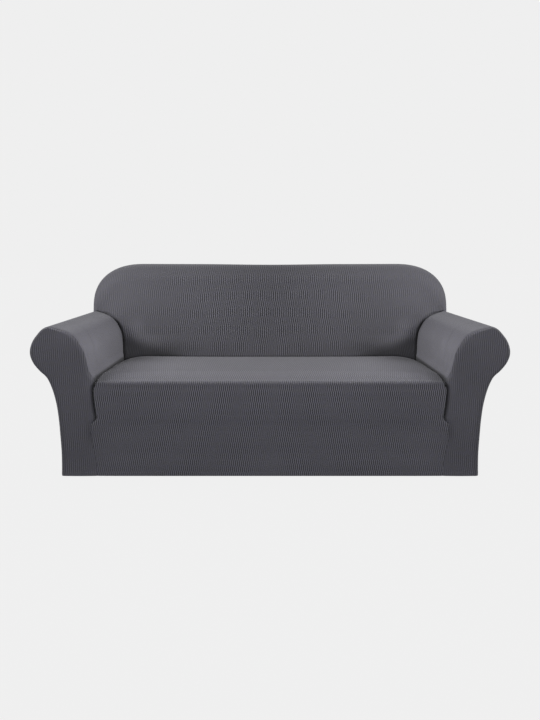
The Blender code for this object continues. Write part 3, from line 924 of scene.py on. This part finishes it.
def arm_relief(up, back):
    """How far the creases on the inside of the arm raise or sink the cloth."""
    relief = np.zeros_like(back)
    for (up_a, back_a), (up_b, back_b), width, height in ARM_CREASES:
        span = np.array([up_b - up_a, back_b - back_a])
        length = np.linalg.norm(span)
        share = ((up - up_a) * span[0] + (back - back_a) * span[1]) / length**2
        off = ((up - up_a) * span[1] - (back - back_a) * span[0]) / length
        relief += height * bump(off, 0.0, width) * bump(share, 0.5, ARM_CREASE_REACH)
    return relief


def arm_backs(start, end):
    """How far back a column's points lie. Its first place is there twice, as the allowance starts in it."""
    return start + (end - start) * np.concatenate([[0.0], graded(1.0, *ARM_SPACING)])


def front_drawn_in(back, start, share):
    """How far a column's front end is drawn in: it rounds over to the facing, the allowance turns in."""
    drawn = FRONT_ROUNDING * share * np.clip(1 - (back - start) / FRONT_ROUNDING_LENGTH, 0, 1) ** 2
    drawn[0] += ARM_ALLOWANCE
    return drawn


def inside_column(across, up, normal, line, into, apart):
    """A column of the right arm from its front edge to the back and into the cleft there, with its painted
    shading.
    """
    start = front_depth(up) + CLOTH + 2 * SEAM
    last = line - apart
    back = arm_backs(start, last[1])
    drawn = front_drawn_in(back, start, ease(up, *FRONT_ROUNDING_UP))
    relief = arm_relief(up, back) * ease(up, *ARM_CREASE_UP)
    relief *= 1 - ease(back, last[1] - ARM_CREASE_FADE, last[1])
    column = arm_point(across, up, back)
    column[:, 0] += normal[0] * (relief - drawn)
    column[:, 2] += normal[1] * (relief - drawn)
    column[-1] = last
    steps = np.linspace(0, 1, TUCK_STEPS + 1)[1:, None] ** TUCK_POWER
    column = np.vstack([column, last + into * steps])
    # Painted light and shade: patches, lighter ridges and darker troughs on the creases, and painted shade
    # on the tucked cloth and along the foot.
    tone = patches(ARM_PATCHES, column[:, 1], up)
    tone[: len(back)] += ARM_CREASE_SHADING * relief
    tone[len(back) :] *= TUCK_SHADOW_TONE
    tone *= 1 - CREASE_SHADE * (1 - ease(up, *ARM_FOOT_SHADE_UP))
    return column, tone


def outside_column(across, up, normal):
    """A column of the right arm from its front edge to the rear panel, and its painted shade."""
    start, end = FRONT_EDGE_DEPTH + CLOTH + 2 * SEAM, ARM_END[-1][1]
    back = arm_backs(start, end)
    count = int((REAR - end) / ARM_PITCH)
    shares = np.concatenate([np.linspace(0, REAR_ROUNDING_SHARE, count), REAR_ROUNDING_PLACES])
    begin = end + REAR_BEGIN
    rear = begin + (REAR - CLOTH - SEAM - begin) * shares
    over = REAR_ROUNDING * np.clip((shares - REAR_ROUNDING_SHARE) / (1 - REAR_ROUNDING_SHARE), 0, 1) ** 2
    drawn = np.concatenate([front_drawn_in(back, start, 1.0), [0.0], over]) - hem_relief(up)
    column = arm_point(across, up, np.concatenate([back, [(end + begin) / 2], rear]))
    column[:, 0] -= normal[0] * drawn
    if up >= ARM_LEVEL_UP:
        column[:, 2] -= normal[1] * drawn
    # Painted shade along the arm's front rim.
    tone = np.ones(len(column))
    tone[: len(back)] *= 1 - ARM_RIM_SHADE * (1 - ease(back - start, 0.0, ARM_RIM_WIDTH))
    return column, tone


def arm(name, side, material):
    """One arm, in columns from front to back: the inside ones end at the back, the others at the rear."""
    section = arm_section()
    normals = section_normals(section)
    ways = arm_junction()
    crest = INSIDE_POINTS - 1
    made = [inside_column(*section[i], normals[i], *(way[i] for way in ways)) for i in range(crest)]
    made += [outside_column(*section[i], normals[i]) for i in range(crest, len(section))]
    inside_count, count = len(made[0][0]), len(made[-1][0])
    grid, maps, tones = [], [], []
    for (column, tone), length in zip(made, path_length(section)):
        column = lengthened(column, count)
        flat_back = column[:, 1].copy()
        flat_back[0] -= ARM_ALLOWANCE
        grid.append(column * (side, 1, 1))
        maps.append(np.column_stack([flat_back, np.full(count, length)]))
        tones.append(lengthened(tone, count))
    keep = np.ones((len(grid) - 1, count - 1), bool)
    keep[:crest, inside_count - 1 :] = False
    return sheet(
        name, grid, maps, tones, np.ones(np.shape(tones)), material,
        hub=(side * 0.84, 0.4, 0.4), keep=keep,
    )


def facing_edges():
    """Points down the facing's outer edge and down its inner one, from the crest to the hem."""
    path = smooth_path(ARM_SECTION)
    crest = int(np.argmax(path[:, 1]))
    inset_path = path - section_normals(path) * FRONT_ROUNDING
    corner_up = SKIRT_EDGE[0][0]
    outer, inner = inset_path[crest:], inset_path[: crest + 1][::-1]
    outer_top = outer[: np.argmax(outer[:, 1] < corner_up)]
    inner_top = inner[: np.argmax(inner[:, 1] < corner_up)]
    shares = np.linspace(0, 1, FACING_TOP_POINTS)[1:] ** FACING_TOP_POWER
    left_top = at_lengths(outer_top, shares * path_length(outer_top)[-1])
    right_top = at_lengths(inner_top, shares * path_length(inner_top)[-1])
    lower = with_hem(np.linspace(corner_up, HEM_UP, FACING_LOW_ROWS)[1:], HEM_UP)
    left_low = np.column_stack([np.interp(lower, outer[::-1, 1], outer[::-1, 0]), lower])
    right_low = np.column_stack([lookup(SKIRT_EDGE, lower) + SEAM, lower])
    turn = SEAT_CREASE_ACROSS - seat_side_across(FRONT_EDGE_DEPTH)
    right_top[:, 0] -= turn * ease(right_top[:, 1], ARM_WAIST_UP, ARM_FOOT_UP)
    right_top[:, 0] -= FRONT_ROUNDING * (1 - ease(right_top[:, 1], *FRONT_ROUNDING_UP))
    step = right_top[-1, 0] - lookup(SKIRT_EDGE, corner_up) - SEAM
    right_low[:, 0] += step * ease(lower, corner_up - FACING_CORNER_BLEND, corner_up)
    return np.vstack([left_top, left_low]), np.vstack([right_top, right_low])


def arm_front(name, side, material):
    """The facing of one arm, in rows from its outer edge to its inner one, from the crest to the hem."""
    corner_up = SKIRT_EDGE[0][0]
    half = graded(0.5, *FACING_SPACING)
    shares = np.concatenate([half, 1 - half[-2::-1]])
    grid, maps, tones, ribs = [], [], [], []
    for outer, inner in zip(*facing_edges()):
        width = np.linalg.norm(inner - outer)
        limit = FACING_EDGE_LIMIT * width
        points = outer + (inner - outer) * shares[:, None]
        near_outer = np.maximum(0.0, 1 - shares / (min(FACING_EDGE_WIDTH, limit) / width)) ** 2
        near_inner = np.maximum(0.0, 1 - (1 - shares) / (min(FRONT_EDGE_WIDTH, limit) / width)) ** 2
        tuck = lookup(SKIRT_EDGE, inner[1], 2) if inner[1] < corner_up else front_depth(inner[1])
        crown = FACING_CROWN * width * shares * (1 - shares)
        depth = FRONT_EDGE_DEPTH * near_outer + tuck * near_inner - crown - hem_relief(points[:, 1])
        grid.append(np.column_stack([points[:, 0], depth, points[:, 1]]) * (side, 1, 1))
        maps.append(points * (side, 1))
        # Painted light and shade on the facing: its patches, shade along its outer edge and in the groove by
        # the skirt.
        tone = patches(FACING_PATCHES, points[:, 0], points[:, 1])
        tone *= 1 - FACING_EDGE_SHADE * (1 - ease(shares * width, 0.0, FACING_EDGE_SHADE_WIDTH))
        in_groove = groove(inner[1]) * (1 - ease(inner[1], SEAT_EDGE_UP[0], corner_up))
        tones.append(tone * (1 - CREASE_SHADE * in_groove * near_inner))
        ribs.append(patches(FACING_RIBS, points[:, 0], points[:, 1]))
    return sheet(
        name, grid, maps, tones, ribs, material,
        hub=(side * 0.84, 0.4, 0.4),
    )


def back_rim(inset):
    """The right half of the back's outline, from the top's middle to where it stands on the arm."""
    side = BACK_HALF_WIDTH - inset
    top = BACK_TOP_UP - inset
    across = np.linspace(0, BACK_CORNER_ACROSS, BACK_CROWN_POINTS)
    crown = np.column_stack([across, top - BACK_TOP_DIP * (1 - ease(across, 0, BACK_DIP_ACROSS))])
    angle = np.linspace(0, math.pi / 2, BACK_CORNER_POINTS)[1:]
    power = 2 / BACK_CORNER_POWER
    corner_across = BACK_CORNER_ACROSS + (side - BACK_CORNER_ACROSS) * np.sin(angle) ** power
    corner_up = BACK_CORNER_UP + (top - BACK_CORNER_UP) * np.maximum(np.cos(angle), 0.0) ** power
    section = smooth_path(ARM_SECTION)
    outer = section[np.argmax(section[:, 1]) : np.argmax(section[:, 0])]
    foot = (side, np.interp(side, outer[:, 0], outer[:, 1]) + SEAM)
    return resample(np.vstack([crown, np.column_stack([corner_across, corner_up]), foot]), RIM_POINTS + 1)


def on_rim(rim, shares):
    """Points of an outline at these shares of its length."""
    places = np.arange(RIM_POINTS + 1) / RIM_POINTS
    return np.column_stack([np.interp(shares, places, column) for column in rim.T])


def back_edge(across, up):
    """How far back the edge of the back is rounded over here, and how much of that is sideways."""
    over = np.maximum(np.abs(across) - BACK_CORNER_ACROSS, 0.0) / (BACK_HALF_WIDTH - BACK_CORNER_ACROSS)
    above = np.maximum(up - BACK_CORNER_UP, 0.0) / (BACK_TOP_UP - BACK_CORNER_UP)
    reach = (over**BACK_CORNER_POWER + above**BACK_CORNER_POWER) ** (1 / BACK_CORNER_POWER)
    sideways = over / np.maximum(over + above, 1e-9)
    radius = (BACK_TOP_UP - BACK_CORNER_UP) * (1 - sideways)
    radius = radius + (BACK_HALF_WIDTH - BACK_CORNER_ACROSS) * sideways
    width = BACK_EDGE_TOP + (BACK_EDGE_SIDE - BACK_EDGE_TOP) * sideways
    depth = BACK_EDGE_DEPTH_TOP + (BACK_EDGE_DEPTH_SIDE - BACK_EDGE_DEPTH_TOP) * sideways
    near = np.clip(1 - (1 - np.minimum(reach, 1.0)) * radius / width, 0.0, 1.0)
    return depth * (1 - np.sqrt(1 - near * near)), sideways


def back_face(across, up):
    """How far back the leaning front of the back lies, with its edge rounded over towards the outline."""
    x = np.abs(across)
    beyond = np.clip(x - SEAT_CREASE_ACROSS, 0.0, BACK_BEYOND)
    lean = seat_rear(np.minimum(x, SEAT_CREASE_ACROSS)) + SEAM + BACK_LEAN * (up - BACK_CREASE_UP)
    lean = lean + 3 * SEAT_CREASE_BOW / SEAT_CREASE_ACROSS * (beyond - beyond**2 / (2 * BACK_BEYOND))
    start, end = BACK_BOW_ACROSS
    bend = np.clip((x - start) / (end - start), 0.0, 1 + BACK_BOW_BEYOND)
    inner = np.minimum(bend, 1.0)
    outer = np.maximum(bend - 1.0, 0.0)
    levelling = BACK_BOW_SLOPE / (2 * BACK_BOW_BEYOND)
    bow = BACK_BOW * (inner * inner * np.sqrt(2 - inner) + outer * (BACK_BOW_SLOPE - levelling * outer))
    bow = bow * ease(up, ARM_END[1][0], ARM_END[1][0] + BACK_BOW_HEIGHT)
    return lean + bow + back_edge(across, up)[0]


def back_columns():
    """The inside back's right columns: feet, tucks, shares of the rim, and 1 for those in the cleft."""
    corner_up = lookup(SEAT_SIDE_CREASE, seat_rear(SEAT_CREASE_ACROSS))
    shares = np.linspace(0, 1, BACK_SEAT_COLUMNS)
    across = (SEAT_CREASE_ACROSS - SEAM) * shares
    up = corner_up + (BACK_CREASE_UP - corner_up) * seat_side_rise(SEAT_CREASE_ACROSS - across)
    feet = np.column_stack([across, seat_rear(across) + SEAM, up])
    tucks = np.tile([0.0, 0.0, -TUCK], (BACK_SEAT_COLUMNS, 1))
    line, into, apart = arm_junction()
    beside_arm = np.linspace(CORNER_RIM_SHARE, 1, INSIDE_POINTS)[1:]
    rim_shares = np.concatenate([CORNER_RIM_SHARE * shares, beside_arm])
    cleft = np.concatenate([np.zeros(BACK_SEAT_COLUMNS), np.ones(INSIDE_POINTS - 1)])
    return np.vstack([feet, (line + apart)[1:]]), np.vstack([tucks, into[1:]]), rim_shares, cleft


def back_tone(across, up):
    """The painted light and shade on the back here, with the painted shadow in its corners and along its
    foot.
    """
    edge = CORNER_UP - CORNER_SLOPE * np.maximum(CORNER_ACROSS - across, 0.0)
    corner = 1 - ease(up, edge - CORNER_SOFTNESS, edge)
    crease_up = BACK_CREASE_UP - (BACK_CREASE_UP - BACK_CORNER_FOOT) * ease(across, *CORNER_FOOT_ACROSS)
    widened = 1 + BACK_FOOT_WIDENING * ease(across, *BACK_FOOT_WIDENS_ACROSS)
    foot = 1 - ease(up - crease_up, 0.0, BACK_FOOT_WIDTH * widened)
    return patches(BACK_PATCHES, across, up) * (1 - CORNER_SHADE * corner) * (1 - BACK_FOOT_SHADE * foot)


def settled(feet, offset, across, up):
    """How far the face of the back moves to meet its foot, blended from the nearest parts of the foot."""
    away = np.hypot(across[:, None] - feet[:, 0], up[:, None] - feet[:, 2])
    spacing = np.linalg.norm(np.gradient(feet, axis=0), axis=1)
    weight = spacing / (away + BACK_SETTLED_BLEND) ** 3
    near = 1 - ease(np.min(away, axis=1), 0.0, BACK_SETTLED_REACH)
    return weight @ offset / np.sum(weight, axis=1) * near


def back_weave_map(points):
    """Where points of the inside back lie on the weave, which fans out upwards and runs on over the edge."""
    across, back, up = np.moveaxis(points, -1, 0)
    edge, sideways = back_edge(across, up)
    over = np.maximum(back - (back_face(across, up) - edge), 0.0)
    fan = 1 + BACK_WEAVE_FAN * np.clip((up - BACK_CREASE_UP) / (BACK_TOP_UP - BACK_CREASE_UP), 0, 1)
    along = up * BACK_WEAVE_LENGTHENING + over * (1 - sideways)
    return np.stack([across / fan + over * sideways, along], axis=-1)


def inside_back(material):
    """The leaning front of the back with its rounded top and corners, in columns that fan out."""
    feet, into, shares, cleft = back_columns()
    rim = on_rim(back_rim(0.0), shares)
    offset = feet[:, 1] - back_face(feet[:, 0], feet[:, 2])
    arm_feet, arm_into = feet[BACK_SEAT_COLUMNS:], into[BACK_SEAT_COLUMNS:]
    depth_shares = np.linalg.norm(arm_into, axis=1) / (TUCK * CLEFT_DEEPER)
    width = CLEFT_WIDTH * np.maximum(depth_shares, CLEFT_NARROWEST)
    # Painted shadow in the cleft beside each arm, narrower at its foot and thinner at the crest, and painted
    # shade along the rim.
    crest = ease(arm_feet[:, 2], *CLEFT_CREST_UP)
    dark = CLEFT_SHADE * (1 - CLEFT_SHADE_THINNING * crest)
    at_foot = 1 - ease(arm_feet[:, 2], *CLEFT_FOOT_UP)
    narrow = 1 - CLEFT_SHADE_CREST * crest - CLEFT_SHADE_FOOT * at_foot
    rows = [feet + into * (1 + CLEFT_END * cleft)[:, None]]
    shades = [np.where(cleft > 0, 1 - CLEFT_SHADE, 1.0)]
    for part in graded(1.0, *BACK_SPACING):
        across, up = (feet[:, [0, 2]] + (rim - feet[:, [0, 2]]) * part).T
        away = np.hypot(across[:, None] - arm_feet[:, 0], up[:, None] - arm_feet[:, 2])
        nearest, off = np.argmin(away, axis=1), np.min(away, axis=1)
        place = np.column_stack([across, back_face(across, up) + settled(feet, offset, across, up), up])
        sunk = np.clip(1 - off / width[nearest], 0, 1) ** CLEFT_POWER
        rows.append(place + arm_into[nearest] * sunk[:, None])
        in_cleft = 1 - dark[nearest] * (1 - ease(off / narrow[nearest], *CLEFT_SHADE_WIDTH))
        shades.append(in_cleft * (1 - BACK_RIM_SHADE * ease(part, *BACK_RIM_PARTS)))
    top = rows[-1][:, 1]
    for part in np.linspace(0, 1, BACK_TOP_ROWS + 1)[1:]:
        inset = float(np.interp(part, *BACK_TOP_INSETS))
        across, up = on_rim(back_rim(inset), shares).T
        rows.append(np.column_stack([across, top + (REAR - CLOTH - SEAM - top) * part, up]))
        shades.append(np.full(len(shares), 1 - BACK_RIM_SHADE))
    right = np.array(rows)
    tone = np.array(shades) * back_tone(right[..., 0], right[..., 2])
    flat = back_weave_map(right)
    grid = np.concatenate([right[:, ::-1] * (-1, 1, 1), right[:, 1:]], axis=1)
    across, up = grid[..., 0], grid[..., 2]
    maps = np.concatenate([flat[:, ::-1] * (-1, 1), flat[:, 1:]], axis=1)
    tones = np.concatenate([tone[:, ::-1], tone[:, 1:]], axis=1)
    ribs = patches(BACK_RIBS, across, up) + patches(BACK_RIBS, -across, up) - 1
    return sheet(
        "inside_back", grid, maps, tones, ribs, material,
        hub=(0, 0.85, 0.5),
    )


def outside_back(material):
    """The flat rear panel, whose rows run from the left outline to the right one."""
    section = arm_section()[INSIDE_POINTS - 1 :]
    section = section - section_normals(section) * REAR_ROUNDING
    rim = on_rim(back_rim(REAR_ROUNDING), np.linspace(REAR_TOP_SHARE, 1, REAR_RIM_ROWS))
    sides = [arm_point(across, up, [REAR])[0, [0, 2]] for across, up in section[1:]]
    outline = np.vstack([rim, sides])
    across = outline[:, :1] * np.linspace(-1, 1, REAR_COLUMNS)
    up = np.repeat(outline[:, 1:], REAR_COLUMNS, axis=1)
    grid = np.stack([across, REAR + hem_relief(up), up], axis=-1)
    plain = np.ones(across.shape)
    return sheet(
        "outside_back", grid, grid[..., [0, 2]], plain, plain, material,
        hub=(0, 0.4, 0.5),
    )


# ---- Camera, lamps and floor ----


def placed(name, data, place):
    """An object with this data, put into the scene at a place."""
    thing = bpy.data.objects.new(name, data)
    thing.location = place
    bpy.context.scene.collection.objects.link(thing)
    return thing


def softbox(name, place, size, power):
    """A square lamp that faces the target of the lamps."""
    lamp = bpy.data.lights.new(name, "AREA")
    lamp.shape = "SQUARE"
    lamp.size = size
    lamp.energy = power
    holder = placed(name, lamp, place)
    x, y, z = np.array(LAMP_TARGET, float) - np.array(holder.location)
    holder.rotation_euler = (math.atan2(math.hypot(x, y), -z), 0.0, math.atan2(-x, y))


def paper():
    """The pale paper that the camera sees, and the dimmer light that the surroundings cast."""
    world = bpy.data.worlds.new("paper")
    world.use_nodes = True
    tree = world.node_tree
    seen = tree.nodes["Background"]
    seen.inputs["Color"].default_value = (PAPER, PAPER, PAPER, 1.0)
    cast = tree.nodes.new("ShaderNodeBackground")
    cast.inputs["Color"].default_value = (*AMBIENT, 1.0)
    path = tree.nodes.new("ShaderNodeLightPath")
    either = tree.nodes.new("ShaderNodeMixShader")
    tree.links.new(path.outputs["Is Camera Ray"], either.inputs[0])
    tree.links.new(cast.outputs[0], either.inputs[1])
    tree.links.new(seen.outputs[0], either.inputs[2])
    tree.links.new(either.outputs[0], tree.nodes["World Output"].inputs["Surface"])
    bpy.context.scene.world = world


def pale_floor():
    """The floor, which shines evenly in the paper's colour and lights nothing."""
    half = FLOOR_HALF_WIDTH
    mesh = bpy.data.meshes.new("floor")
    corners = [(x, y, FLOOR_UP) for x, y in ((-half, -half), (half, -half), (half, half), (-half, half))]
    mesh.from_pydata(corners, [], [(0, 1, 2, 3)])
    material = bpy.data.materials.new("pale_floor")
    material.use_nodes = True
    looks = (
        ("Base Color", (*[FLOOR_REFLECTANCE] * 3, 1.0)),
        ("Roughness", 1.0),
        ("Specular IOR Level", 0.0),
        ("Emission Color", (1.0, 1.0, 1.0, 1.0)),
        ("Emission Strength", PAPER),
    )
    for key, value in looks:
        material.node_tree.nodes["Principled BSDF"].inputs[key].default_value = value
    mesh.materials.append(material)
    floor = placed("floor", mesh, (0.0, 0.0, 0.0))
    floor.visible_diffuse = False
    floor.visible_glossy = False


def studio():
    """The camera, the lamps, the paper and the floor."""
    lens = bpy.data.cameras.new("camera")
    lens.lens = LENS
    lens.sensor_width = SENSOR
    camera = placed("camera", lens, CAMERA_AT)
    camera.rotation_euler = (math.radians(90 - CAMERA_DOWN), 0.0, 0.0)
    bpy.context.scene.camera = camera
    softbox("key", KEY_AT, KEY_SIZE, KEY_POWER)
    softbox("side_left", (-SIDE_AT[0], *SIDE_AT[1:]), SIDE_SIZE, SIDE_POWER)
    softbox("side_right", SIDE_AT, SIDE_SIZE, SIDE_POWER)
    paper()
    pale_floor()
    bpy.context.scene.view_settings.view_transform = "Standard"


def build():
    """Makes the studio and the seven dressed panels."""
    studio()
    cloths = {name: jacquard(name, *weave) for name, weave in WEAVES.items()}
    seat_and_skirt(cloths["seat_weave"])
    inside_back(cloths["back_weave"])
    outside_back(cloths["back_weave"])
    for word, side in (("left", -1), ("right", 1)):
        arm(f"arm_{word}", side, cloths["arm_weave"])
        arm_front(f"arm_front_{word}", side, cloths["arm_front_weave"])


build()
